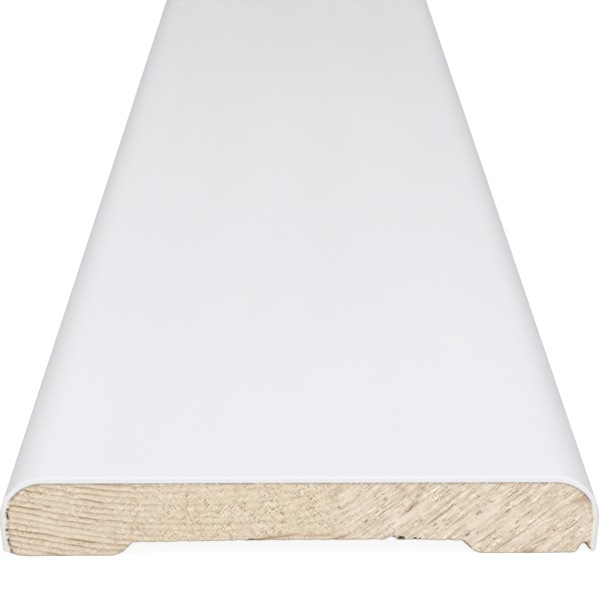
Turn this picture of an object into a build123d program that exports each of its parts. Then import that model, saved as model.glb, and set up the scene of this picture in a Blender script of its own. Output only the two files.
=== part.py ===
from build123d import *
import os
from math import atan2, cos, degrees, radians, sin, tan

# Architrave moulding: a planed pine strip whose face and edges are wrapped in white film.
# It lies on its back, with X across the width, Y along the length and Z from back to face.
# The origin is at the middle of the back. Sizes are in millimetres, angles in degrees.

# Overall
length = 2200
width = 69  # across the widest part of the wrapped edges
thickness = 10  # from the back to the face, at the left round
right_thickness = 9.75  # the same at the right round, as the face falls a little that way

# White film and the outline that it wraps
film_thickness = 0.65  # on the face
film_edge_thickness = 0.52  # on the edges, where it is drawn thinner
face_radius = 5.35  # round from the face to an edge, on the film's outside
edge_undercut = 3  # lean of each edge, which makes the back narrower than the face
left_foot_height = 0.6  # lower edge of the film above the back
right_foot_height = 0.2
film_foot_radius = 0.4  # round on the film's lower outside edges
film_arris_radius = 0.15  # round on the film's outside edges at the two sawn ends

# Pine core below the film
corner_ease_width = 2.2  # eased back corner on the left
notch_depth = 1.5  # V-cut in the back beside the film's right foot, to its sharp bottom
notch_outer_width = 1.05  # from the film's foot to the bottom of the cut
notch_inner_width = 0.73  # from the bottom of the cut to the back
notch_root_radius = 0.33
notch_mouth_radius = 0.8
relief_width = 38  # shallow channel along the back, across its top
relief_offset = -0.25  # its middle, from the middle of the back
relief_depth = 1.7  # at the sides of its top
relief_crown = 0.18  # further rise at the middle of its top
relief_side_angle = 45
relief_mouth_radius = 2.4
relief_root_radius = 0.4

# Height of the centres of the rounds between face and edges
left_round_z = thickness - face_radius
right_round_z = right_thickness - face_radius


def edge_x(round_x, round_z, radius, height):
    """Distance from the middle to a leaning edge that runs down from a round."""
    lean = radians(edge_undercut)
    reach = radius - (round_z - height) * sin(lean)
    return round_x + reach / cos(lean)


def wrapped_outline(face_inset, edge_inset):
    """Draws the outline over the face, from one foot of the film to the other,
    at a depth below the film's outside."""
    radius = face_radius - face_inset
    round_x = width / 2 - edge_inset - radius
    face_slope = degrees(atan2(left_round_z - right_round_z, 2 * round_x))
    left_sweep = 90 + edge_undercut + face_slope
    right_sweep = 90 + edge_undercut - face_slope
    left_foot = (-edge_x(round_x, left_round_z, radius, left_foot_height), left_foot_height)
    right_foot = (edge_x(round_x, right_round_z, radius, right_foot_height), right_foot_height)
    left_round = CenterArc((-round_x, left_round_z), radius, 180 + edge_undercut, -left_sweep)
    right_round = CenterArc((round_x, right_round_z), radius, 90 - face_slope, -right_sweep)
    Line(left_foot, left_round @ 0)
    Line(left_round @ 1, right_round @ 0)
    Line(right_round @ 1, right_foot)
    return left_foot, right_foot


# Pine core
with BuildPart() as pine_core:
    with BuildSketch(Plane.XZ) as core_section:
        with BuildLine():
            left_foot, right_foot = wrapped_outline(film_thickness, film_edge_thickness)
            notch_root = (right_foot[0] - notch_outer_width, notch_depth)
            notch_mouth = (notch_root[0] - notch_inner_width, 0)
            back_corner = (left_foot[0] + corner_ease_width, 0)
            Polyline(right_foot, notch_root, notch_mouth, back_corner)
            TangentArc(back_corner, left_foot, tangent=(-1, 0))
        make_face()
        fillet(core_section.vertices().sort_by_distance(notch_root)[0], notch_root_radius)
        fillet(core_section.vertices().sort_by_distance(notch_mouth)[0], notch_mouth_radius)
        with BuildLine():
            half_top = relief_width / 2
            half_mouth = half_top + relief_depth / tan(radians(relief_side_angle))
            mouths = [(relief_offset + side * half_mouth, 0) for side in (-1, 1)]
            roots = [(relief_offset + side * half_top, relief_depth) for side in (-1, 1)]
            Polyline(roots[0], mouths[0], mouths[1], roots[1])
            ThreePointArc(roots[0], (relief_offset, relief_depth + relief_crown), roots[1])
        make_face(mode=Mode.SUBTRACT)
        for mouth in mouths:
            fillet(core_section.vertices().sort_by_distance(mouth)[0], relief_mouth_radius)
        for root in roots:
            fillet(core_section.vertices().sort_by_distance(root)[0], relief_root_radius)
    extrude(amount=length / 2, both=True)

# White film, on the core's face and both edges
with BuildPart() as white_film:
    with BuildSketch(Plane.XZ) as film_section:
        with BuildLine():
            outer_feet = wrapped_outline(0, 0)
            inner_feet = wrapped_outline(film_thickness, film_edge_thickness)
            for outer_foot, inner_foot in zip(outer_feet, inner_feet):
                Line(outer_foot, inner_foot)
        make_face()
        for outer_foot in outer_feet:
            fillet(film_section.vertices().sort_by_distance(outer_foot)[0], film_foot_radius)
    extrude(amount=length / 2, both=True)
    for end_face in white_film.faces().filter_by(Axis.Y):
        arris = [
            edge
            for edge in end_face.edges()
            if pine_core.part.distance_to(edge.center()) > film_edge_thickness / 2
        ]
        fillet(arris, film_arris_radius)

os.makedirs("parts", exist_ok=True)
for node, name in ((pine_core, "pine_core"), (white_film, "white_film")):
    node.part.label = name
    export_step(node.part, f"parts/{name}.step")
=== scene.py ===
from math import atan2, cos, hypot, pi, radians, sin, tan

import bpy
import numpy as np
from mathutils import Matrix, Vector
from mathutils.geometry import delaunay_2d_cdt
from mathutils.kdtree import KDTree


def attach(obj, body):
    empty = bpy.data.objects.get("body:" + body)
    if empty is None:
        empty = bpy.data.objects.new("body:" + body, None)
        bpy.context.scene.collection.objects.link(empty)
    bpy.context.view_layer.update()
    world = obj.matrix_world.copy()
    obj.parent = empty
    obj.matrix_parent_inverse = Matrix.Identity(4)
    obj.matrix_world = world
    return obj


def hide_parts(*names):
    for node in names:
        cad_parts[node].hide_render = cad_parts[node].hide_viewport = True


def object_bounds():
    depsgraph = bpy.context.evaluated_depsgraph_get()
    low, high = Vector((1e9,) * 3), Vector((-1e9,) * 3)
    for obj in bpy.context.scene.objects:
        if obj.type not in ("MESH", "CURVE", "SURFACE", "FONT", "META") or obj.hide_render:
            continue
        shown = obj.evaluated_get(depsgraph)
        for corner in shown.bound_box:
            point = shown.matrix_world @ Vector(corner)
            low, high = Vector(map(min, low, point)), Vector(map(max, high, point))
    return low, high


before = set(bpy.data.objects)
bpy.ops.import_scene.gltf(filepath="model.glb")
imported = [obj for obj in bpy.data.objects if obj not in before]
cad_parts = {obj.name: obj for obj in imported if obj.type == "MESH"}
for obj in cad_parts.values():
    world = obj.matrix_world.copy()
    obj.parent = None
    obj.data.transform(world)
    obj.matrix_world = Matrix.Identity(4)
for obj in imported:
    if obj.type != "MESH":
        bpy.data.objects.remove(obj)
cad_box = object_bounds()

# Architrave moulding: a pine strip whose face and edges are wrapped in white film.
# Its sizes are in millimetres: X across the width, Y along the length, Z from the back to the face.
MM = 0.001
# Overall, from the frame's box to a tenth, because its rounds are faceted
WIDTH, LENGTH, THICKNESS = (round((high - low) / MM, 1) for low, high in zip(*cad_box))
HALF_LENGTH = LENGTH / 2
RIGHT_THICKNESS = 9.75  # at the right round, where the face is a little lower
FILM = 0.65  # the film's thickness on the face
FILM_EDGE = 0.52  # and on the edges
FACE_RADIUS = 5.35
EDGE_UNDERCUT = radians(3)
LEFT_FOOT = 0.6  # the film's lower edges above the back
RIGHT_FOOT = 0.2
FILM_FOOT_RADIUS = 0.4
FILM_ARRIS_RADIUS = 0.15
CORNER_EASE = 2.2
NOTCH_DEPTH = 1.5
NOTCH_OUTER = 1.05
NOTCH_INNER = 0.73
NOTCH_ROOT_RADIUS = 0.33
NOTCH_MOUTH_RADIUS = 0.8
RELIEF_WIDTH = 38
RELIEF_OFFSET = -0.25
RELIEF_DEPTH = 1.7
RELIEF_CROWN = 0.18
RELIEF_MOUTH_RADIUS = 2.4
RELIEF_ROOT_RADIUS = 0.4
LEFT_ROUND_Z = THICKNESS - FACE_RADIUS
RIGHT_ROUND_Z = RIGHT_THICKNESS - FACE_RADIUS
LEFT_RISE = LEFT_ROUND_Z - LEFT_FOOT
RIGHT_RISE = RIGHT_ROUND_Z - RIGHT_FOOT

# Distances between points along the section's outline and on the sawn ends
OUTLINE_PITCH = 0.16
GRAIN_PITCH = 0.16
ROW_RATIO = 0.866  # of a staggered grid's rows to its columns
MARK_LIMIT = 0.03  # a mark stronger than this gets the finer grid
CLEARANCE = 0.7  # of the grid's points from the outline, as a share of their distance
TOLERANCE = 0.02
# Numbers of points on the film's feet, the eased back corner and the film's arris
FOOT_POINTS = 7
EASE_POINTS = 14
ARRIS_POINTS = 6


def straight(start, end, count):
    """Points from start up to but not including end."""
    share = np.arange(count)[:, None] / count
    return (1 - share) * np.array(start, float) + share * np.array(end, float)


def arc(centre, radius, start, end, count):
    """Points on a circle, from angle start up to but not including angle end."""
    angle = start + (end - start) * np.arange(count) / count
    return np.stack([centre[0] + radius * np.cos(angle), centre[1] + radius * np.sin(angle)], 1)


def flank_steps(rise):
    """Distances from a foot of the film up a straight edge, close together on the foot's round."""
    foot = FILM_FOOT_RADIUS * (1 - np.cos(np.linspace(0, pi / 2, FOOT_POINTS)))
    above = np.arange(FILM_FOOT_RADIUS + OUTLINE_PITCH, rise - OUTLINE_PITCH / 2, OUTLINE_PITCH)
    return np.concatenate([foot, above])


def edge_x(round_x, round_z, radius, height):
    """Distance from the middle to a leaning edge that runs down from a round."""
    reach = radius - (round_z - height) * sin(EDGE_UNDERCUT)
    return round_x + reach / cos(EDGE_UNDERCUT)


def wrapped_path(depth):
    """From the film's left foot over the face to its right foot: depth is 0 on the film's outside
    and 1 on the core."""
    radius = FACE_RADIUS - depth * FILM
    round_x = WIDTH / 2 - depth * FILM_EDGE - radius
    slope = atan2(LEFT_ROUND_Z - RIGHT_ROUND_Z, 2 * round_x)
    left = np.array((-edge_x(round_x, LEFT_ROUND_Z, radius, LEFT_FOOT), LEFT_FOOT))
    right = np.array((edge_x(round_x, RIGHT_ROUND_Z, radius, RIGHT_FOOT), RIGHT_FOOT))
    steps = round((pi / 2 + EDGE_UNDERCUT) * FACE_RADIUS / OUTLINE_PITCH)
    top = pi / 2 - slope
    left_round = arc((-round_x, LEFT_ROUND_Z), radius, pi + EDGE_UNDERCUT, top, steps)
    right_round = arc((round_x, RIGHT_ROUND_Z), radius, -EDGE_UNDERCUT, top, steps)[::-1]
    left_share = flank_steps(LEFT_RISE)[:, None] / LEFT_RISE
    right_share = flank_steps(RIGHT_RISE)[::-1, None] / RIGHT_RISE
    face_start = (-round_x + radius * sin(slope), LEFT_ROUND_Z + radius * cos(slope))
    face_end = (round_x + radius * sin(slope), RIGHT_ROUND_Z + radius * cos(slope))
    return np.concatenate([
        left + left_share * (left_round[0] - left),
        left_round,
        straight(face_start, face_end, round((WIDTH - 2 * FACE_RADIUS) / OUTLINE_PITCH)),
        [face_end],
        right_round,
        right + right_share * (right_round[-1] - right),
    ])


def foot_fullness(rise):
    """How much of its thickness the film has up a straight edge: less on the round of its foot."""
    below = FILM_FOOT_RADIUS - np.minimum(flank_steps(rise), FILM_FOOT_RADIUS)
    return 1 - (FILM_FOOT_RADIUS - np.sqrt(FILM_FOOT_RADIUS**2 - below**2)) / FILM_EDGE


def film_fullness():
    """The same at each point of the wrapped path."""
    left = foot_fullness(LEFT_RISE)
    right = foot_fullness(RIGHT_RISE)
    full = np.ones(len(core_wrap))
    full[:len(left)] = left
    full[-len(right):] = right[::-1]
    return full[:, None]


def rounded(corners):
    """A line through corners (x, z, radius), each rounded, cut into short steps."""
    points = [np.array(corners[0][:2], float)]
    for before, corner, after in zip(corners, corners[1:], corners[2:]):
        here = np.array(corner[:2], float)
        radius = corner[2]
        back = np.array(before[:2], float) - here
        on = np.array(after[:2], float) - here
        back /= hypot(*back)
        on /= hypot(*on)
        half = np.arccos(np.clip(back @ on, -1, 1)) / 2
        middle = here + radius / sin(half) * (back + on) / hypot(*(back + on))
        first = here + back * radius / tan(half)
        last = here + on * radius / tan(half)
        start = atan2(*(first - middle)[::-1])
        turn = (atan2(*(last - middle)[::-1]) - start + pi) % (2 * pi) - pi
        steps = max(3, round(abs(turn) * radius / OUTLINE_PITCH))
        points.extend(arc(middle, radius, start, start + turn, steps))
        points.append(last)
    points.append(np.array(corners[-1][:2], float))
    cut = []
    for a, b in zip(points, points[1:]):
        cut.extend(straight(a, b, max(1, round(hypot(*(b - a)) / OUTLINE_PITCH))))
    return np.array(cut)


def back_path():
    """Along the core's back, from just after the film's right foot to just before its left foot."""
    right_foot, left_foot = core_wrap[-1], core_wrap[0]
    root = right_foot[0] - NOTCH_OUTER
    half_top = RELIEF_WIDTH / 2
    half_mouth = half_top + RELIEF_DEPTH
    corner = (left_foot[0] + CORNER_EASE, 0)
    back = rounded([
        (*right_foot, 0),
        (root, NOTCH_DEPTH, NOTCH_ROOT_RADIUS),
        (root - NOTCH_INNER, 0, NOTCH_MOUTH_RADIUS),
        (RELIEF_OFFSET + half_mouth, 0, RELIEF_MOUTH_RADIUS),
        (RELIEF_OFFSET + half_top, RELIEF_DEPTH, RELIEF_ROOT_RADIUS),
        (RELIEF_OFFSET - half_top, RELIEF_DEPTH, RELIEF_ROOT_RADIUS),
        (RELIEF_OFFSET - half_mouth, 0, RELIEF_MOUTH_RADIUS),
        (*corner, 0),
    ])
    off_middle = (back[:, 0] - RELIEF_OFFSET) / half_top
    back[:, 1] += RELIEF_CROWN * np.maximum(1 - off_middle**2, 0)
    ease_radius = (CORNER_EASE**2 + LEFT_FOOT**2) / (2 * LEFT_FOOT)
    ease_angle = 2 * atan2(LEFT_FOOT, CORNER_EASE)
    ease_centre = (corner[0], ease_radius)
    ease = arc(ease_centre, ease_radius, -pi / 2, -pi / 2 - ease_angle, EASE_POINTS)
    return np.concatenate([back[1:], ease])


core_wrap = wrapped_path(1)
film_wrap = core_wrap + film_fullness() * (wrapped_path(0) - core_wrap)
core_outline = np.concatenate([core_wrap, back_path()])


def smooth(low, high, value):
    """A soft step from 0 at low to 1 at high."""
    share = np.clip((value - low) / (high - low), 0, 1)
    return share * share * (3 - 2 * share)


def bell(distance, width):
    """1 at no distance, fading to nothing over about twice the width."""
    return np.exp(-((distance / width) ** 2))


class Lattice:
    """Smooth noise from 0 to 1 with cells about one unit wide."""

    SIZE = 64

    def __init__(self, seed):
        self.values = np.random.default_rng(seed).random((self.SIZE, self.SIZE))

    def __call__(self, u, v):
        iu = np.floor(u).astype(int)
        iv = np.floor(v).astype(int)
        fu = smooth(0, 1, u - iu)
        fv = smooth(0, 1, v - iv)
        corner = [
            self.values[(iu + a) % self.SIZE, (iv + b) % self.SIZE]
            for a in (0, 1)
            for b in (0, 1)
        ]
        low = corner[0] * (1 - fv) + corner[1] * fv
        high = corner[2] * (1 - fv) + corner[3] * fv
        return low * (1 - fu) + high * fu


# Annual rings, across the section: their slope, and how far apart they are, measured up the section
RING_SLOPES = (
    (-36, -0.2), (-27, -0.2), (-22, -0.12), (-18, -0.05), (-13, 0.0), (-6, 0.06),
    (-1, 0.12), (3.5, 0.3), (6.5, 0.7), (11, 0.82), (36, 0.84),
)
RING_STEPS = ((-36, 0.76), (-20, 0.76), (-6, 0.85), (3, 0.9), (10, 1.15), (36, 1.3))
RING_START = 60
RING_REACH = 36
ring_x = np.linspace(-RING_REACH, RING_REACH, 721)
ring_rise = -np.interp(ring_x, *zip(*RING_SLOPES)) / np.interp(ring_x, *zip(*RING_STEPS))
mean_rise = (ring_rise[1:] + ring_rise[:-1]) / 2
ring_drift = np.concatenate([[0], np.cumsum(mean_rise * np.diff(ring_x))])


def ring_count(x, z):
    """A number that grows by one across each annual ring, up the section."""
    above_middle = (z - THICKNESS / 2) / np.interp(x, *zip(*RING_STEPS))
    return above_middle + np.interp(x, ring_x, ring_drift) + RING_START


# Tears in the near end: place, length, width, angle up from +X, depth and darkness
TEARS = (
    (20.5, 5.1, 0.55, 0.2, 50, 0.22, 0.8), (20.8, 5.3, 0.5, 0.16, -40, 0.2, 0.7),
    (24.0, 5.4, 0.8, 0.2, 42, 0.28, 0.7), (21.9, 6.6, 0.4, 0.2, -30, 0.2, 0.6),
    (25.1, 4.0, 0.6, 0.18, 45, 0.2, 0.5), (19.4, 2.3, 0.7, 0.16, 45, 0.2, 0.7),
    (4.6, 5.9, 0.5, 0.16, -30, 0.16, 0.6), (7.7, 4.2, 0.5, 0.2, 50, 0.18, 0.6),
    (9.9, 7.0, 0.5, 0.2, 50, 0.18, 0.6), (1.3, 5.9, 0.4, 0.16, 30, 0.14, 0.5),
    (14.0, 4.2, 0.6, 0.18, 45, 0.18, 0.6), (13.5, 7.4, 0.6, 0.15, 30, 0.16, 0.5),
    (-2.0, 5.3, 0.6, 0.2, -25, 0.18, 0.7), (-1.8, 4.1, 0.7, 0.16, -20, 0.16, 0.6),
    (-9.9, 4.8, 0.4, 0.16, -40, 0.14, 0.5), (-10.6, 4.9, 0.5, 0.12, -10, 0.12, 0.5),
    (-12.3, 6.8, 0.35, 0.16, 40, 0.14, 0.5), (-12.9, 7.6, 0.3, 0.14, 50, 0.14, 0.4),
    (-16.7, 7.6, 0.3, 0.16, -60, 0.14, 0.5), (-8.9, 8.2, 0.5, 0.14, 40, 0.16, 0.4),
    (-3.8, 8.2, 0.5, 0.14, 45, 0.16, 0.5), (-3.2, 6.9, 0.25, 0.2, 0, 0.14, 0.5),
    (-29.0, 6.3, 0.9, 0.16, -15, 0.14, 0.6), (-31.2, 6.9, 0.5, 0.14, 20, 0.12, 0.4),
    (32.72, 7.36, 0.95, 0.22, -46, 0.1, 0.5), (31.6, 1.9, 0.6, 0.18, 60, 0.18, 0.4),
    (22.3, 1.9, 0.7, 0.16, -20, 0.16, 0.4),
)
# Patches in the near end: place, half length, half width, angle and strength
PALE_PATCHES = (
    (21.6, 5.0, 2.6, 0.8, 40, 1.0), (24.6, 3.9, 1.9, 0.6, 40, 1.0),
    (26.2, 2.4, 2.4, 0.45, 41, 1.0), (29.2, 1.5, 1.8, 0.4, 41, 0.9),
    (17.0, 3.0, 1.6, 0.4, 40, 0.8), (6.0, 7.8, 1.6, 0.3, 42, 0.7),
    (13.4, 5.6, 2.2, 0.35, 40, 0.8), (-27.0, 3.2, 3.0, 0.2, -11, 0.8),
    (-24.0, 2.3, 2.5, 0.2, -10, 0.8), (-29.5, 4.6, 1.8, 0.2, -12, 0.7),
    (-26.5, 7.4, 2.2, 0.18, -11, 0.6),
)
# Stains in the near end, in the same form
STAINS = (
    (32.5, 6.75, 1.1, 0.4, 18, 0.75), (33.4, 6.0, 0.5, 0.3, 60, 0.5),
    (-2.9, 2.22, 2.9, 0.17, 8, 1.1), (-4.4, 1.98, 1.4, 0.1, 4, 1.25),
    (1.6, 2.45, 2.6, 0.12, 0, 0.55), (4.6, 2.14, 0.9, 0.16, 20, 1.0),
    (26.6, 0.3, 0.8, 0.35, 10, 0.8), (33.2, 1.2, 0.4, 0.7, 100, 0.8),
    (4.4, 8.1, 1.0, 0.3, 50, 0.5), (11.6, 8.4, 0.9, 0.3, -30, 0.5),
    (14.3, 8.2, 0.8, 0.25, -30, 0.5),
)
# Hollows, in the same form: where the film has come away on the left; their near-black colour is
# painted shade
FILM_HOLLOWS = (
    (-32.6, 7.55, 0.8, 0.06, 46, 0.4), (-33.5, 5.95, 0.18, 0.11, 60, 0.9),
    (-33.62, 5.5, 0.15, 0.1, 100, 0.9), (-33.55, 5.05, 0.3, 0.1, 95, 1.1),
    (-33.45, 4.75, 0.13, 0.08, 140, 0.8), (-33.7, 3.95, 0.13, 0.07, 90, 0.5),
    (-33.72, 3.3, 0.15, 0.13, 60, 1.2), (-33.72, 2.75, 0.18, 0.06, 90, 0.5),
    (-33.62, 1.95, 0.3, 0.11, 95, 1.0), (-33.55, 1.5, 0.2, 0.08, 120, 0.8),
    (-33.35, 0.75, 0.2, 0.1, -40, 0.8),
)
# Along the channel's broken edge and in the notch
BACK_HOLLOWS = (
    (10.6, 2.18, 0.4, 0.08, 8, 0.8), (11.75, 1.99, 0.36, 0.16, 0, 1.5),
    (13.35, 1.92, 0.2, 0.12, 0, 1.2), (13.95, 1.87, 0.14, 0.09, 0, 1.0),
    (17.4, 1.8, 0.25, 0.06, 0, 0.6), (19.36, 1.2, 0.75, 0.06, -45, 0.5),
    (-5.6, 1.95, 0.3, 0.07, 0, 0.7), (33.16, 1.09, 0.25, 0.1, -51, 0.9),
    (33.54, 0.65, 0.3, 0.07, -51, 0.6),
)
HOLLOWS = FILM_HOLLOWS + BACK_HOLLOWS
HOLLOW_DEPTH = 0.4
FAR_HOLLOWS = 0.5  # share of them that the far end has
# Long thin cuts along the fibres in the near end: first point, last point and darkness
CUTS = (
    (22.5, 0.2, 25.2, 2.35, 0.8), (20.2, 1.1, 22.6, 2.75, 0.5), (27.0, 0.95, 28.9, 2.1, 0.7),
    (25.2, 4.25, 27.0, 5.7, 0.5), (19.0, 2.2, 19.9, 2.9, 0.7), (14.6, 3.6, 17.9, 6.4, 0.5),
    (16.4, 2.6, 19.8, 5.6, 0.35), (11.2, 4.4, 14.2, 7.0, 0.4), (22.9, 6.2, 25.6, 8.6, 0.4),
    (28.3, 4.2, 30.6, 6.1, 0.35), (9.4, 5.6, 11.8, 7.6, 0.45), (30.4, 2.6, 32.2, 4.1, 0.4),
    (6.9, 2.6, 8.9, 4.3, 0.35), (17.6, 6.9, 19.4, 8.5, 0.4),
)
CUT_WIDTH = 0.13
CUT_DEPTH = 0.12
# Broken fibres along the channel's edge at the near end: place, half width and height
BROKEN_EDGES = ((10.6, 0.55, 0.3), (-6.9, 0.5, 0.1), (3.6, 0.6, 0.06))
BROKEN_RIPPLE = 0.1
BROKEN_LENGTH = 2.5  # how far they reach along the channel
FAR_BROKEN = 0.4  # share of them that the far end has
# Seeds of the chance in the broken edge and in the two ends
BROKEN_SEED = 5
NEAR_SEED = 11
FAR_SEED = 47
# Depths in a sawn end: its mean, what early wood and roughness add, the groove along the film
SAWN_DEPTH = 0.05
EARLY_WOOD_DEPTH = 0.035
FINE_DEPTH = 0.05
COARSE_DEPTH = 0.06
GROOVE_DEPTH = 0.1
GROOVE_WIDTH = 0.1
GROOVE_HEIGHTS = (5.5, 7)  # it fades in up the edges
DEEPEST = 0.7
# Where the glue and shade line of an edge takes over from that of the face: out from the middle, and
# down each edge
EDGE_ZONE = (31.5, 33)
LEFT_HEIGHTS = (7.5, 6.5)
RIGHT_HEIGHTS = (6.8, 5.8)
# Dark line of glue and painted shade of the gap along the film, on the face, the left edge and the
# right edge: distance from the film, width and strength
FACE_GLUE_SHADE = (0.1, 0.18, 1.0)
LEFT_GLUE_SHADE = (0.46, 0.1, 0.7)
RIGHT_GLUE_SHADE = (0.34, 0.1, 0.3)
# Distances from the film over which the cream filler of the two edges ends
LEFT_FILLER = (0.36, 0.2)
RIGHT_FILLER = (0.24, 0.1)
BACK_EDGE_SHADE_WIDTH = 0.1  # painted shade along the back edge of the sawn ends
# Zones across the width: on the left the rings are strong, on the right the fibres rise steeply
LEFT_ZONE = (-24, -14)
RIGHT_ZONE = (3, 8)


def along(x, z, place, angle):
    """Coordinates of points along and across a mark."""
    c, s = cos(radians(angle)), sin(radians(angle))
    dx, dz = x - place[0], z - place[1]
    return dx * c + dz * s, dz * c - dx * s


def bump(u, v, half_length, half_width):
    """How much a mark covers points along and across it, from 0 to 1."""
    return np.exp(-np.clip((u / half_length) ** 4 + (v / half_width) ** 2, 0, 40))


STROKE_COUNT = 1500
STROKE_REACH = 2  # no stroke changes a point that is further away than this across the width
STROKE_X = (-34, 34)  # where their middles lie
STROKE_Z = (0, 9.4)
STROKE_HALF_LENGTHS = (0.25, 0.6)
STROKE_HALF_WIDTHS = (0.06, 0.12)
STROKE_DEPTHS = (0.015, 0.06)
BURR = 0.6  # a burr's height, as a share of its stroke's depth
CROSSED_ANGLES = (-52, 50)
CROSSED_SPREAD = 7
FIBRE_ANGLE = 40
FIBRE_SPREAD = 4


def saw_strokes(x, z, seed):
    """Short cuts that the saw's teeth leave on a sawn end: shallow grooves with burrs beside them."""
    rng = np.random.default_rng(seed)
    depth = np.zeros_like(x)
    order = np.argsort(x)
    sorted_x = x[order]
    for _ in range(STROKE_COUNT):
        place = rng.uniform(*STROKE_X), rng.uniform(*STROKE_Z)
        steep = smooth(*RIGHT_ZONE, place[0])
        with_fibres = 0.25 + 0.6 * steep
        if rng.random() < with_fibres:
            angle = FIBRE_ANGLE + rng.normal(0, FIBRE_SPREAD)
        else:
            angle = rng.choice(CROSSED_ANGLES) + rng.normal(0, CROSSED_SPREAD)
        half_length = rng.uniform(*STROKE_HALF_LENGTHS) * (1 + 1.4 * steep)
        half_width = rng.uniform(*STROKE_HALF_WIDTHS)
        cut = rng.uniform(*STROKE_DEPTHS)
        first = np.searchsorted(sorted_x, place[0] - STROKE_REACH)
        last = np.searchsorted(sorted_x, place[0] + STROKE_REACH)
        near = order[first:last]
        u, v = along(x[near], z[near], place, angle)
        groove = bump(u, v, half_length, half_width)
        burr = bump(u, v - 2 * half_width, half_length, half_width)
        depth[near] += cut * (groove - BURR * burr)
    return depth


def torn(x, z, near):
    """Depth and darkness of the tears and cuts in a sawn end, mirrored at the far one."""
    flip = 1 if near else -1
    depth, dark = np.zeros_like(x), np.zeros_like(x)
    for px, pz, length, width, angle, cut, tone in TEARS:
        mark = bump(*along(x, z, (flip * px, pz), flip * angle), length / 2, width / 2)
        depth += cut * mark
        dark = np.maximum(dark, tone * mark)
    for ax, az, bx, bz, tone in CUTS:
        middle = flip * (ax + bx) / 2, (az + bz) / 2
        angle = flip * np.degrees(atan2(bz - az, bx - ax))
        mark = bump(*along(x, z, middle, angle), hypot(bx - ax, bz - az) / 2, CUT_WIDTH / 2)
        depth += CUT_DEPTH * mark
        dark = np.maximum(dark, tone * mark)
    return depth, dark


def patched(x, z, patches):
    """How strong the strongest patch is at each point."""
    most = np.zeros_like(x)
    for px, pz, half_length, half_width, angle, strength in patches:
        cover = bump(*along(x, z, (px, pz), angle), half_length, half_width)
        most = np.maximum(most, strength * cover)
    return most


def marked(x, z, near):
    """How much small marks change each point of a sawn end."""
    return np.maximum(torn(x, z, near)[1], patched(x, z, HOLLOWS))


def end_fields(x, z, gap, near):
    """What a sawn end shows at each point: its depth and masks from 0 to 1.
    gap is the distance to the film."""
    seed = NEAR_SEED if near else FAR_SEED
    coarse, fine = Lattice(seed), Lattice(seed + 1)
    rings = ring_count(x, z) + 0.25 * (coarse(x / 2.2, z / 1.3) - 0.5)
    late = smooth(0.55, 0.9, rings % 1) * (1 - smooth(0.93, 1, rings % 1))
    depth = SAWN_DEPTH + EARLY_WOOD_DEPTH * (1 - late)
    depth += FINE_DEPTH * (fine(x / 0.35, z / 0.35) - 0.5)
    depth += COARSE_DEPTH * (coarse(x / 1.1 + 7, z / 0.8) - 0.5)
    depth += saw_strokes(x, z, seed + 2)
    tear_depth, tear = torn(x, z, near)
    hollow = patched(x, z, HOLLOWS) * (1 if near else FAR_HOLLOWS)
    groove = GROOVE_DEPTH * bell(gap, GROOVE_WIDTH) * smooth(*GROOVE_HEIGHTS, z)
    depth += tear_depth + HOLLOW_DEPTH * hollow + groove
    masks = {
        "tear": tear,
        "hollow": hollow,
        "pale": patched(x, z, PALE_PATCHES) if near else 0.0,
        "stain": patched(x, z, STAINS) if near else 0.0,
    }
    return np.clip(depth, 0, DEEPEST), masks


def film_fields(x, z, gap):
    """Where glue shows along the film on a sawn end, dark and cream; the dark line is glue and
    painted shade of the gap.
    On the two edges it stands off the film, with cream filler between."""
    left = smooth(*EDGE_ZONE, -x) * smooth(*LEFT_HEIGHTS, z)
    right = smooth(*EDGE_ZONE, x) * smooth(*RIGHT_HEIGHTS, z)
    zones = ((1 - left - right, FACE_GLUE_SHADE), (left, LEFT_GLUE_SHADE), (right, RIGHT_GLUE_SHADE))
    # Dark line of glue and painted shade of the gap along the film
    glue_and_gap_shade = sum(strength * zone * bell(gap - from_film, width)
               for zone, (from_film, width, strength) in zones)
    cream = left * smooth(*LEFT_FILLER, gap) + right * smooth(*RIGHT_FILLER, gap)
    return {"glue_and_gap_shade": glue_and_gap_shade, "cream": cream}


def inside_points(outline, near):
    """A staggered grid of points inside the outline and clear of it, twice as fine on marks."""
    low, high = outline.min(0), outline.max(0)
    pitch = GRAIN_PITCH / 2
    rows = np.arange(int((high[1] - low[1]) / (ROW_RATIO * pitch)))
    cols = np.arange(int((high[0] - low[0]) / pitch))
    col, row = np.meshgrid(cols, rows)
    x = low[0] + pitch * (col + row % 2 / 2)
    z = low[1] + ROW_RATIO * pitch * row
    coarse = (row % 2 == 0) & ((col + row // 2) % 2 == 0)
    points = np.stack([x.ravel(), z.ravel()], 1)
    points = points[coarse.ravel() | (marked(*points.T, near) > MARK_LIMIT)]
    within = np.zeros(len(points), bool)
    for (ax, az), (bx, bz) in zip(outline, np.roll(outline, -1, 0)):
        if az != bz:
            crossed = (points[:, 1] > az) != (points[:, 1] > bz)
            within ^= crossed & (points[:, 0] < ax + (points[:, 1] - az) / (bz - az) * (bx - ax))
    points = points[within]
    return points[distances(points, outline) > CLEARANCE * pitch]


def distances(points, outline):
    """How far each point lies from the nearest point of the outline."""
    tree = KDTree(len(outline))
    for i, (x, z) in enumerate(outline):
        tree.insert((x, z, 0), i)
    tree.balance()
    return np.array([tree.find((x, z, 0))[2] for x, z in points])


def sawn_end(outline, near):
    """Points of a sawn end, the outline's first, and the triangles between them."""
    points = np.concatenate([outline, inside_points(outline, near)])
    ring = list(range(len(outline)))
    found = delaunay_2d_cdt([Vector(p) for p in points], [], [ring], 1, 1e-6)
    new_to_old = [old[0] for old in found[3]]
    triangles = np.array([[new_to_old[i] for i in face] for face in found[2]])
    return points, triangles


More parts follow.
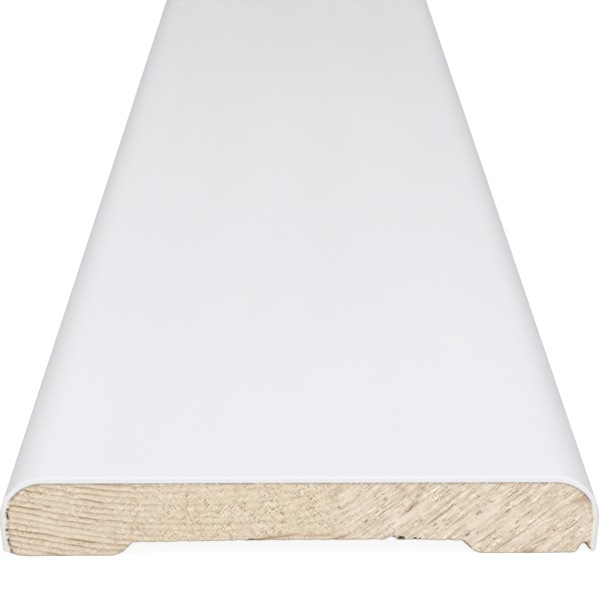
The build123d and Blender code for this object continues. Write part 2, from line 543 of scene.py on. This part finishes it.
def broken(outline, amount):
    """The outline with the channel's edge broken upwards."""
    result = outline.copy()
    x, z = outline.T
    over_channel = np.abs(x - RELIEF_OFFSET) < RELIEF_WIDTH / 2
    ceiling = over_channel & (z < THICKNESS / 2) & (z > RELIEF_DEPTH - TOLERANCE)
    for place, half_width, height in BROKEN_EDGES:
        lift = height * np.exp(-(((x - place) / half_width) ** 4))
        result[:, 1] += amount * ceiling * lift
    ripple = Lattice(BROKEN_SEED)(x / 0.9, 0 * x) - 0.5
    result[:, 1] += amount * ceiling * BROKEN_RIPPLE * ripple
    return result


SHARP_ANGLE = radians(40)


def new_object(name, points, faces, corner_maps, values, material):
    """A smooth mesh object from points in millimetres, with its bake map and point attributes."""
    mesh = bpy.data.meshes.new(name)
    mesh.from_pydata((np.asarray(points) * MM).tolist(), [], faces)
    layer = mesh.uv_layers.new(name="OFBake", do_init=False)
    layer.uv.foreach_set("vector", np.concatenate(corner_maps).astype(np.float32).ravel())
    for key, data in values.items():
        attribute = mesh.attributes.new(key, "FLOAT", "POINT")
        attribute.data.foreach_set("value", np.asarray(data, np.float32))
    mesh.validate()
    mesh.shade_smooth()
    mesh.set_sharp_from_angle(angle=SHARP_ANGLE)
    mesh.materials.append(material)
    item = bpy.data.objects.new(name, mesh)
    bpy.context.scene.collection.objects.link(item)
    return item


def at_length(section, y):
    """The points of a section, placed along the length."""
    return np.stack([section[:, 0], np.broadcast_to(y, len(section)), section[:, 1]], 1)


def strip(first, second, closed):
    """Quads between two rings of point numbers."""
    count = len(first)
    last = count if closed else count - 1
    after = [(i + 1) % count for i in range(last)]
    return [(first[i], first[j], second[j], second[i]) for i, j in enumerate(after)]


# Rows of the bake map that hold the core's near end, far end and sides
NEAR_ROWS = (0.01, 0.14)
FAR_ROWS = (0.15, 0.28)
SIDE_ROWS = (0.3, 0.99)
# Rows that hold the film's outside, its inside and its feet
OUTSIDE_ROWS = (0.02, 0.6)
INSIDE_ROWS = (0.62, 0.98)
FOOT_ROW = 0.985
# What stays free beside a map of the sides, and beside one of an end or a foot
SIDE_MARGIN = 0.002
END_MARGIN = 0.01


def inset(place, whole, margin):
    """A place across or along the moulding, on the bake map between two margins."""
    return margin + (1 - 2 * margin) * (place / whole + 0.5)


def strip_map(y_first, y_second, shares, closed, rows):
    """Bake map of such quads: along the length and then up between two rows of the picture."""
    top = np.append(shares, 1.0) if closed else shares
    low, high = (rows[0] + (rows[1] - rows[0]) * top[i:len(top) - 1 + i] for i in (0, 1))
    u0 = np.full_like(low, inset(y_first, LENGTH, SIDE_MARGIN))
    u1 = np.full_like(low, inset(y_second, LENGTH, SIDE_MARGIN))
    corners = ((u0, low), (u0, high), (u1, high), (u1, low))
    return np.stack([np.stack(corner, 1) for corner in corners], 1).reshape(-1, 2)


def length_shares(outline, closed):
    """How far round the outline each point lies, from 0 to 1."""
    ends = np.roll(outline, -1, 0) if closed else outline[1:]
    steps = np.hypot(*(ends - outline[:len(ends)]).T)
    return np.concatenate([[0], np.cumsum(steps)])[:len(outline)] / steps.sum()


# Sections along the length: distances from each end, and places evenly spaced between them
BETWEEN = HALF_LENGTH - 200
END_STATIONS = (0.4, 1.0, 2.5, 6, 20)
CORE_STATIONS = np.linspace(-BETWEEN, BETWEEN, 7)
FILM_END_STATIONS = (1, 5, 30)
FILM_STATIONS = np.linspace(-BETWEEN, BETWEEN, 13)
# What the points of the core and of the film know, besides their places
CORE_VALUES = ("rings", "tear", "pale", "stain", "hollow", "glue_and_gap_shade", "cream", "back_edge_shade", "sawn")
FILM_VALUES = ("cut", "edge", "arris_shade")
FILM_EDGE_HEIGHTS = (5.5, 7.5)  # the film's edges pass into its face here


def end_map(corners, rows):
    """Bake map of a sawn end, across the picture between two of its rows."""
    u = inset(corners[:, 0], WIDTH, END_MARGIN)
    v = rows[0] + (rows[1] - rows[0]) * corners[:, 1] / THICKNESS
    return np.stack([u, v], 1)


def build_core(material):
    """The pine strip: two sawn ends with their grain, and the planed sides between them."""
    points, faces, maps, rings = [], [], [], []
    values = {name: [] for name in CORE_VALUES}
    total = 0

    def add(section, y, masks):
        nonlocal total
        points.append(at_length(section, y))
        numbers = np.arange(total, total + len(section))
        total += len(section)
        for name in CORE_VALUES:
            value = ring_count(*section.T) if name == "rings" else masks.get(name, 0.0)
            values[name].append(np.broadcast_to(value, len(section)))
        return numbers

    for near in (True, False):
        outline = broken(core_outline, 1.0 if near else FAR_BROKEN)
        section, triangles = sawn_end(outline, near)
        gap = distances(section, core_wrap)
        depth, masks = end_fields(*section.T, gap, near)
        masks.update(film_fields(*section.T, gap))
        # Painted shade along the back edge of each sawn end
        masks["back_edge_shade"] = bell(distances(section, outline[len(core_wrap):]), BACK_EDGE_SHADE_WIDTH)
        masks["sawn"] = 1.0
        numbers = add(section, depth - HALF_LENGTH if near else HALF_LENGTH - depth, masks)
        triangles = triangles if near else triangles[:, ::-1]
        faces.extend(numbers[triangles].tolist())
        maps.append(end_map(section[triangles.ravel()], NEAR_ROWS if near else FAR_ROWS))
        rings.append((-HALF_LENGTH if near else HALF_LENGTH, numbers[:len(core_outline)]))

    stations = [(y, 0) for y in CORE_STATIONS]
    for step in END_STATIONS:
        amount = max(0, 1 - step / BROKEN_LENGTH)
        stations.append((-HALF_LENGTH + step, amount))
        stations.append((HALF_LENGTH - step, FAR_BROKEN * amount))
    for y, amount in sorted(stations):
        rings.append((y, add(broken(core_outline, amount), y, {})))
    rings.sort(key=lambda ring: ring[0])
    shares = length_shares(core_outline, True)
    for (y0, first), (y1, second) in zip(rings, rings[1:]):
        faces.extend(np.array(strip(first, second, True)).tolist())
        maps.append(strip_map(y0, y1, shares, True, SIDE_ROWS))
    data = {name: np.concatenate(parts) for name, parts in values.items()}
    return new_object("pine_core_grain", np.concatenate(points), faces, maps, data, material)


def film_stations():
    """The film's sections and their places: from its inside at the near end, over the cut edge,
    the eased arris and the outside, to its inside at the far end."""
    normal = film_wrap - core_wrap
    normal /= np.hypot(*normal.T)[:, None]
    profile = [(core_wrap, HALF_LENGTH)]
    for angle in np.linspace(0, pi / 2, ARRIS_POINTS):
        section = film_wrap - normal * FILM_ARRIS_RADIUS * (1 - sin(angle))
        profile.append((section, HALF_LENGTH - FILM_ARRIS_RADIUS * (1 - cos(angle))))
    profile.extend((film_wrap, HALF_LENGTH - step) for step in FILM_END_STATIONS)
    stations = [(section, -y) for section, y in profile]
    stations += [(film_wrap, y) for y in FILM_STATIONS]
    stations += [(section, y) for section, y in reversed(profile)]
    return stations


def build_film(material):
    """The film as a closed shell: its outside, the arris and cut edge at each end, its inside
    and its two feet."""
    stations = film_stations()
    count = len(film_wrap)
    points, faces, maps, rings = [], [], [], []
    values = {name: [] for name in FILM_VALUES}
    for k, (section, y) in enumerate(stations):
        points.append(at_length(section, y))
        rings.append((y, np.arange(k * count, (k + 1) * count)))
        inner = section is core_wrap
        edge = 1 - smooth(*FILM_EDGE_HEIGHTS, section[:, 1])
        on_arris = abs(y) > HALF_LENGTH - FILM_ARRIS_RADIUS - TOLERANCE
        values["cut"].append(np.full(count, 1.0 if inner else 0.0))
        values["edge"].append(edge)
        # Painted shade on the outer arris at the cut ends, along the edges
        values["arris_shade"].append(edge * on_arris * (not inner))
    shares = length_shares(film_wrap, False)
    for (y0, first), (y1, second) in zip(rings, rings[1:]):
        faces.extend(strip(first, second, False))
        maps.append(strip_map(y0, y1, shares, False, OUTSIDE_ROWS))
    faces.extend(strip(rings[-1][1], rings[0][1], False))
    maps.append(strip_map(HALF_LENGTH, -HALF_LENGTH, shares, False, INSIDE_ROWS))
    y = np.array([station[1] for station in stations])
    foot_map = np.stack([inset(y, LENGTH, END_MARGIN), np.full(len(y), FOOT_ROW)], 1)
    left_foot = [ring[0] for _, ring in rings]
    right_foot = [ring[-1] for _, ring in rings]
    faces.extend([left_foot[::-1], right_foot])
    maps.extend([foot_map[::-1], foot_map])
    faces = [[int(i) for i in face] for face in faces]
    data = {name: np.concatenate(parts) for name, parts in values.items()}
    return new_object("white_film_wrap", np.concatenate(points), faces, maps, data, material)


class Nodes:
    """Short ways to add nodes to a material or the world and join them."""

    def __init__(self, tree):
        self.tree = tree
        self.tree.nodes.clear()

    def add(self, kind, inputs=(), **settings):
        """A node, with its inputs set to values or joined to other nodes' outputs."""
        node = self.tree.nodes.new(kind)
        for key, value in settings.items():
            setattr(node, key, value)
        for key, value in dict(inputs).items():
            if isinstance(value, bpy.types.NodeSocket):
                self.tree.links.new(value, node.inputs[key])
            else:
                node.inputs[key].default_value = value
        return node

    def math(self, operation, *values, clamp=False):
        node = self.add("ShaderNodeMath", enumerate(values), operation=operation, use_clamp=clamp)
        return node.outputs[0]

    def product(self, first, *others):
        """The values multiplied from left to right."""
        for other in others:
            first = self.math("MULTIPLY", first, other)
        return first

    def scaled(self, vector, factors):
        node = self.add("ShaderNodeVectorMath", {0: vector, 1: factors}, operation="MULTIPLY")
        return node.outputs[0]

    def attribute(self, name):
        return self.add("ShaderNodeAttribute", attribute_name=name).outputs["Fac"]

    def noise(self, vector, scale, detail=2.0, roughness=0.5):
        node = self.add("ShaderNodeTexNoise", {
            "Vector": vector, "Scale": scale, "Detail": detail, "Roughness": roughness})
        return node.outputs["Fac"]

    def cells(self, vector, scale):
        """Distance from the nearest of scattered points, and that point's own colour."""
        found = self.add("ShaderNodeTexVoronoi", {
            "Vector": vector, "Scale": scale, "Randomness": 1.0}).outputs
        return found["Distance"], found["Color"]

    def red(self, colour):
        return self.add("ShaderNodeSeparateColor", {0: colour}).outputs[0]

    def ramp(self, value, *stops):
        """Colours or numbers at places from 0 to 1, and the blends between them."""
        node = self.add("ShaderNodeValToRGB", {"Fac": value})
        while len(node.color_ramp.elements) < len(stops):
            node.color_ramp.elements.new(0.5)
        for element, (place, colour) in zip(node.color_ramp.elements, stops):
            element.position = place
            element.color = colour if isinstance(colour, tuple) else (colour, colour, colour, 1)
        return node.outputs["Color"]

    def mix(self, share, first, second):
        """A share of the second colour over the first."""
        node = self.add("ShaderNodeMix", {0: share, 6: first, 7: second}, data_type="RGBA")
        return node.outputs[2]

    def combine(self, x, y, z):
        return self.add("ShaderNodeCombineXYZ", {0: x, 1: y, 2: z}).outputs[0]


def linear(red, green, blue):
    """A colour as a picture stores it, from 0 to 255, turned into light."""
    parts = [c / 255 for c in (red, green, blue)]
    return tuple(c / 12.92 if c <= 0.04045 else ((c + 0.055) / 1.055) ** 2.4 for c in parts) + (1,)


def new_material(name):
    """A material with no nodes yet, and the way to add them."""
    material = bpy.data.materials.new(name)
    material.use_nodes = True
    return material, Nodes(material.node_tree)


def place_mm(n):
    """Each point's place on the moulding, in millimetres."""
    return n.scaled(n.add("ShaderNodeTexCoord").outputs["Object"], (1 / MM, 1 / MM, 1 / MM))


def surfaced(n, tone, roughness, specular, height, strength, distance):
    """Ends a material with its colour, its gloss and a fine relief."""
    relief = n.add("ShaderNodeBump", {
        "Strength": strength, "Distance": distance, "Height": height}).outputs[0]
    surface = n.add("ShaderNodeBsdfPrincipled", {
        "Base Color": tone, "Roughness": roughness, "Specular IOR Level": specular,
        "Normal": relief})
    n.add("ShaderNodeOutputMaterial", {"Surface": surface.outputs[0]})


# Colours of the wood
YELLOW_WOOD = (
    (0.25, linear(222, 203, 173)), (0.5, linear(236, 220, 196)), (0.75, linear(245, 232, 211)))
ROSY_WOOD = (
    (0.25, linear(216, 199, 175)), (0.5, linear(238, 224, 207)), (0.75, linear(251, 241, 229)))
FIBRES = (
    (0.28, linear(206, 180, 145)), (0.5, linear(238, 222, 199)), (0.72, linear(254, 246, 234)))
LEFT_RINGS = linear(165, 122, 82)
RIGHT_RINGS = linear(196, 170, 128)
# Painted shade and painted highlights of the saw's strokes and short cuts
STROKE_SHADE = linear(176, 143, 90)
STROKE_HIGHLIGHT = linear(255, 249, 237)
TICK_SHADE = linear(158, 117, 62)
TICK_HIGHLIGHT = linear(255, 248, 234)
RESIN = linear(138, 104, 66)
# Glue line along the film, darkened further as painted shade of the gap
GLUE_AND_GAP_SHADE = linear(152, 144, 146)
# Painted shade inside the hollows
HOLLOW_SHADE = linear(34, 29, 24)
# The saw's strokes: angle, scales along and across, shift, zone, and brightness and level of the
# painted highlights on their burrs
STROKES = (
    (50, 1.2, 7.5, 3, "middle", 0.5, 0.6),
    (-52, 1.2, 7.5, 17, "middle", 0.5, 0.6),
    (40, 0.6, 6.0, 31, "right", 1.0, 0.565),
)
# Its short cuts: angle, scales along and across, shift, share of places, zone and darkness of their
# painted shade, each with a painted highlight beside it
TICKS = (
    (48, 1.3, 4.6, 5, 0.3, "middle", 0.78),
    (-50, 1.3, 4.6, 23, 0.28, "middle", 0.78),
    (41, 1.0, 4.2, 41, 0.4, "right", 0.75),
    (-49, 1.3, 5.0, 59, 0.22, "right", 0.75),
)
# What lies on the sawn ends, from the lowest up: mask, strength and colour
END_LAYERS = (
    ("pale", 0.75, linear(243, 231, 212)),
    ("stain", 0.75, linear(172, 126, 97)),
    ("tear", 0.9, linear(122, 82, 40)),
    # The next layer is painted shade along the back edge
    ("back_edge_shade", 0.75, linear(116, 105, 93)),
    ("cream", 0.85, linear(245, 243, 233)),
)


def across_width(n, x, low, high, first, second):
    """A value that goes from first to second between two places across the width."""
    return n.add("ShaderNodeMapRange", {0: x, 1: low, 2: high, 3: first, 4: second}).outputs[0]


def drawn_out(n, mm, angle, along_scale, across_scale, shift, beside=0.0):
    """Places on the section turned by an angle up from +X and stretched along it."""
    turned = n.add("ShaderNodeVectorRotate", {
        "Vector": mm, "Axis": (0, 1, 0), "Angle": radians(angle)},
        rotation_type="AXIS_ANGLE").outputs[0]
    return n.add("ShaderNodeVectorMath", {
        0: turned, 1: (along_scale, 0.004, across_scale), 2: (shift, shift, shift + beside)},
        operation="MULTIPLY_ADD").outputs[0]


def ring_lines(n, rings, grain, left, right):
    """How dark the late wood of the rings is at each point. Each ring has its own strength and
    fades in and out along its line."""
    late = n.ramp(n.math("FRACT", rings),
                  (0.0, 0.0), (0.35, 0.06), (0.62, 0.35), (0.78, 1.0), (0.94, 0.9), (1.0, 0.0))
    chance = n.add("ShaderNodeTexWhiteNoise", {
        "W": n.math("FLOOR", rings)}, noise_dimensions="1D").outputs["Value"]
    fading = n.ramp(n.noise(grain, 0.5, 2), (0.36, 0.45), (0.6, 1.0))
    strength = n.product(n.math("MULTIPLY_ADD", chance, 0.45, 0.55), fading)
    reach = n.math("MULTIPLY_ADD", left, 0.7, n.math("MULTIPLY_ADD", right, 0.3, 0.3))
    return n.product(late, strength, reach)


def saw_marks(n, tone, mm, weights):
    """The saw's strokes, painted shade in their grooves and painted highlights on their burrs, and
    then its short cuts, each painted shade with a painted highlight beside it.
    weights says how much each zone of the width has of them."""
    for angle, along_scale, across_scale, shift, zone, brightness, burr in STROKES:
        stroke = n.noise(drawn_out(n, mm, angle, along_scale, across_scale, shift), 1.0, 1.0)
        dark = n.ramp(stroke, (0.3, 1.0), (0.4, 0.0))
        light = n.ramp(stroke, (burr, 0.0), (burr + 0.1, 1.0))
        # Painted shade in the grooves, painted highlights on the burrs
        tone = n.mix(n.product(dark, weights[zone], 0.6), tone, STROKE_SHADE)
        tone = n.mix(n.product(light, weights[zone], brightness), tone, STROKE_HIGHLIGHT)
    for angle, along_scale, across_scale, shift, chance, zone, darkness in TICKS:
        # Each cut: a painted highlight beside it, then its painted shade
        for beside, opacity, colour in ((0.42, 0.75, TICK_HIGHLIGHT), (0.0, darkness, TICK_SHADE)):
            drawn = drawn_out(n, mm, angle, along_scale, across_scale, shift, beside)
            distance, cell = n.cells(drawn, 1.0)
            chosen = n.math("LESS_THAN", n.red(cell), chance)
            tick = n.product(n.ramp(distance, (0.24, 1.0), (0.4, 0.0)), chosen)
            tone = n.mix(n.product(tick, weights[zone], opacity), tone, colour)
    return tone


def resin_canals(n, tone, grain, sawn):
    """Small dark ends of resin canals."""
    distance, cell = n.cells(grain, 1.15)
    chosen = n.math("GREATER_THAN", n.red(cell), 0.55)
    dot = n.product(n.ramp(distance, (0.06, 1.0), (0.15, 0.0)), chosen)
    return n.mix(n.product(dot, n.product(sawn, 0.6)), tone, RESIN)


def end_layers(n, tone, grain):
    """Patches, stains and tears of the sawn ends, painted shade along the back, cream filler, the
    glue along the film with painted shade of its gap, and the hollows with painted shade in them.
    """
    for mask, strength, colour in END_LAYERS:
        tone = n.mix(n.math("MULTIPLY", n.attribute(mask), strength, clamp=True), tone, colour)
    squeeze = n.ramp(n.noise(grain, 2.2, 2), (0.36, 0.25), (0.6, 0.8))
    # Glue line with painted shade of the gap along the film
    tone = n.mix(n.product(n.attribute("glue_and_gap_shade"), squeeze), tone, GLUE_AND_GAP_SHADE)
    # Painted shade in the hollows, which are also cut in as real depth
    return n.mix(n.math("MULTIPLY", n.attribute("hollow"), 0.95, clamp=True), tone, HOLLOW_SHADE)


def pine_material():
    """Pine: rings and fibres all through, and on the ends what the saw and the glue left, with
    painted shade and highlights on the saw's marks and painted shade in the hollows, along the back
    and in the gap along the film.
    """
    material, n = new_material("pine")
    mm = place_mm(n)
    axis = n.add("ShaderNodeSeparateXYZ", {0: mm}).outputs
    sawn = n.attribute("sawn")
    left = across_width(n, axis[0], *LEFT_ZONE, 1.0, 0.0)
    right = across_width(n, axis[0], *RIGHT_ZONE, 0.0, 1.0)

    # The rings waver slowly, and far more slowly along the grain than across it
    grain = n.scaled(mm, (1, 0.01, 1))
    waver = n.product(n.math("SUBTRACT", n.noise(grain, 0.45, 3), 0.5), 0.7)
    rings = n.math("ADD", n.attribute("rings"), waver)

    # Fine cells of the wood, and fibre streaks that follow the rings
    speckle = n.noise(grain, 3.8, 3, 0.65)
    streaked = n.combine(n.product(rings, 2.8), n.product(axis[0], 0.5), n.product(axis[1], 0.02))
    fibre = n.noise(streaked, 1.0, 3, 0.6)
    yellow = n.ramp(speckle, *YELLOW_WOOD)
    rosy = n.ramp(speckle, *ROSY_WOOD)
    tone = n.mix(n.math("MULTIPLY_ADD", left, 0.4, right), yellow, rosy)
    tone = n.mix(n.math("MULTIPLY_ADD", right, 0.18, 0.22), tone, n.ramp(fibre, *FIBRES))
    line = n.product(ring_lines(n, rings, grain, left, right), 0.95)
    tone = n.mix(line, tone, n.mix(right, LEFT_RINGS, RIGHT_RINGS))

    # The saw's marks cross each other in the middle and run with the fibres on the right; their
    # relief is painted in as shade and highlights
    patches = n.ramp(n.noise(grain, 0.45, 1), (0.38, 0.3), (0.56, 1.0))
    beside = n.math("MULTIPLY_ADD", left, 0.4, n.product(right, 0.55))
    crossed = n.product(n.math("SUBTRACT", 1.0, beside), patches, sawn)
    raked = n.product(right, patches, sawn)
    tone = saw_marks(n, tone, mm, {"middle": crossed, "right": raked})
    tone = resin_canals(n, tone, grain, sawn)
    tone = end_layers(n, tone, grain)

    height = n.math("MULTIPLY_ADD", speckle, 0.5, n.product(fibre, 0.5))
    surfaced(n, tone, 0.8, 0.25, height, 0.6, 0.1 * MM)
    return material


# Colours of the film: its face, its cut edge on the face and on the edges, painted shade on its arris
# along the edges, specks
FILM_FACE = ((0.3, linear(238, 237, 241)), (0.7, linear(241, 240, 244)))
FACE_CUT = linear(240, 241, 241)
EDGE_CUT = linear(242, 241, 230)
ARRIS_SHADE = linear(206, 206, 212)
SPECK = linear(150, 146, 140)


def film_material():
    """Satin white film with a slight cloudiness, a few pressed-in specks, a cut edge that is
    yellowed by glue on the moulding's edges, and painted shade on the arris along those edges."""
    material, n = new_material("white film")
    mm = place_mm(n)
    drawn = n.scaled(mm, (1, 0.12, 1))
    tone = n.ramp(n.noise(drawn, 0.06, 3), *FILM_FACE)
    cut_tone = n.mix(n.attribute("edge"), FACE_CUT, EDGE_CUT)
    tone = n.mix(n.ramp(n.attribute("cut"), (0.3, 0.0), (0.85, 1.0)), tone, cut_tone)
    # Painted shade on the arris along the edges
    tone = n.mix(n.product(n.attribute("arris_shade"), 0.4), tone, ARRIS_SHADE)
    speck = n.ramp(n.cells(mm, 0.05)[0], (0.004, 1.0), (0.009, 0.0))
    tone = n.mix(n.product(speck, 0.5), tone, SPECK)
    peel = n.math("MULTIPLY_ADD", n.noise(mm, 1.1, 2), 0.7, n.product(n.noise(mm, 5.0, 2), 0.3))
    gloss = n.ramp(n.noise(drawn, 0.4, 2), (0.3, 0.46), (0.7, 0.54))
    surfaced(n, tone, gloss, 0.2, peel, 0.12, 0.04 * MM)
    return material


core = build_core(pine_material())
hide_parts("pine_core")
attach(core, "root")
film = build_film(film_material())
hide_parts("white_film")
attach(film, "root")

# From here on lengths are in metres
NEAR_END = -HALF_LENGTH * MM
FAR_END = HALF_LENGTH * MM
FLOOR_HALF = 8
FLOOR_DROP = 0.00005
FLOOR_GREY = (0.45, 0.45, 0.45, 1)
FLOOR_SHADE = (0.25, 0.25, 0.25, 1)
FLOOR_GLOW = 0.885
WHITE = (1, 1, 1, 1)


def seen_directly(n):
    """1 for rays from the camera, from gloss and through glass."""
    path = n.add("ShaderNodeLightPath").outputs
    seen = n.math("MAXIMUM", path["Is Camera Ray"], path["Is Glossy Ray"])
    return n.math("MAXIMUM", seen, path["Is Transmission Ray"])


def floor_material():
    """Pale floor that looks white and still takes the part's shadow."""
    material, n = new_material("floor")
    pale = n.add("ShaderNodeBsdfDiffuse", {"Color": FLOOR_GREY})
    shade = n.add("ShaderNodeBsdfDiffuse", {"Color": FLOOR_SHADE})
    glow = n.add("ShaderNodeEmission", {"Color": WHITE, "Strength": FLOOR_GLOW})
    white = n.add("ShaderNodeAddShader", {0: shade.outputs[0], 1: glow.outputs[0]})
    mixed = n.add("ShaderNodeMixShader", {
        0: seen_directly(n), 1: pale.outputs[0], 2: white.outputs[0]})
    n.add("ShaderNodeOutputMaterial", {"Surface": mixed.outputs[0]})
    return material


def build_floor():
    """A level floor just below the moulding's back."""
    mesh = bpy.data.meshes.new("floor")
    sides = ((-1, -1), (1, -1), (1, 1), (-1, 1))
    corners = [(sx * FLOOR_HALF, sy * FLOOR_HALF, -FLOOR_DROP) for sx, sy in sides]
    mesh.from_pydata(corners, [], [(0, 1, 2, 3)])
    mesh.materials.append(floor_material())
    item = bpy.data.objects.new("floor", mesh)
    bpy.context.scene.collection.objects.link(item)
    return item


def light_world():
    """Soft light from all round, stronger from above than from the horizon, on a white ground."""
    world = bpy.data.worlds.new("studio")
    bpy.context.scene.world = world
    world.use_nodes = True
    n = Nodes(world.node_tree)
    direction = n.add("ShaderNodeTexCoord").outputs["Generated"]
    up = n.add("ShaderNodeSeparateXYZ", {0: direction}).outputs[2]
    sky = n.math("MULTIPLY_ADD", n.math("MAXIMUM", up, 0.0), 0.58, 0.1)
    dim = n.add("ShaderNodeBackground", {"Color": WHITE, "Strength": sky})
    white = n.add("ShaderNodeBackground", {"Color": WHITE, "Strength": 1.0})
    mixed = n.add("ShaderNodeMixShader", {
        0: seen_directly(n), 1: dim.outputs[0], 2: white.outputs[0]})
    n.add("ShaderNodeOutputWorld", {"Surface": mixed.outputs[0]})


def soft_light(name, place, aim, size, watts):
    """A soft box that doesn't show in gloss, which mirrors the white surroundings alone."""
    data = bpy.data.lights.new(name, "AREA")
    data.shape = "RECTANGLE"
    data.size, data.size_y = size
    data.energy = watts
    lamp = bpy.data.objects.new(name, data)
    lamp.location = place
    lamp.visible_glossy = False
    lamp.rotation_euler = (Vector(aim) - Vector(place)).to_track_quat("-Z", "Y").to_euler()
    bpy.context.scene.collection.objects.link(lamp)


floor = build_floor()
light_world()
SMALL_BOX = (0.3, 0.3)
LONG_BOX = (0.55, LENGTH * MM + 0.1)
soft_light("key", (0, NEAR_END - 0.03, 0.27), (0, NEAR_END, 0), SMALL_BOX, 0.3)
soft_light("long_box", (0, 0.21, 0.71), (0, 0.21, 0), LONG_BOX, 3.05)
for name, end, outwards in (("near_fill", NEAR_END, -1), ("far_fill", FAR_END, 1)):
    middle = (0, end, THICKNESS / 2 * MM)
    soft_light(name, (0, end + outwards * 0.85, 0.16), middle, SMALL_BOX, 3.95)

# Camera at the photograph's viewing angle
SENSOR = 36  # in millimetres
FOCAL_PIXELS = 1849.4
PICTURE_PIXELS = 600
EYE = (0.00002, NEAR_END - 0.1904, 0.1024)
PITCH = radians(20.431)
YAW = radians(0.059)
ROLL = radians(-0.346)


def add_camera():
    """The scene's camera, turned by yaw, pitch and roll."""
    forward = Vector((sin(YAW) * cos(PITCH), cos(YAW) * cos(PITCH), -sin(PITCH)))
    level = Vector((cos(YAW), -sin(YAW), 0))
    upright = level.cross(forward)
    across = cos(ROLL) * level + sin(ROLL) * upright
    upward = -sin(ROLL) * level + cos(ROLL) * upright
    lens = bpy.data.cameras.new("camera")
    lens.sensor_width = SENSOR
    lens.lens = FOCAL_PIXELS / PICTURE_PIXELS * SENSOR
    lens.clip_start = 0.01
    camera = bpy.data.objects.new("camera", lens)
    turn = Matrix((across, upward, -forward)).transposed()
    camera.matrix_world = Matrix.Translation(EYE) @ turn.to_4x4()
    bpy.context.scene.collection.objects.link(camera)
    bpy.context.scene.camera = camera


add_camera()
bpy.context.scene.view_settings.view_transform = "Standard"
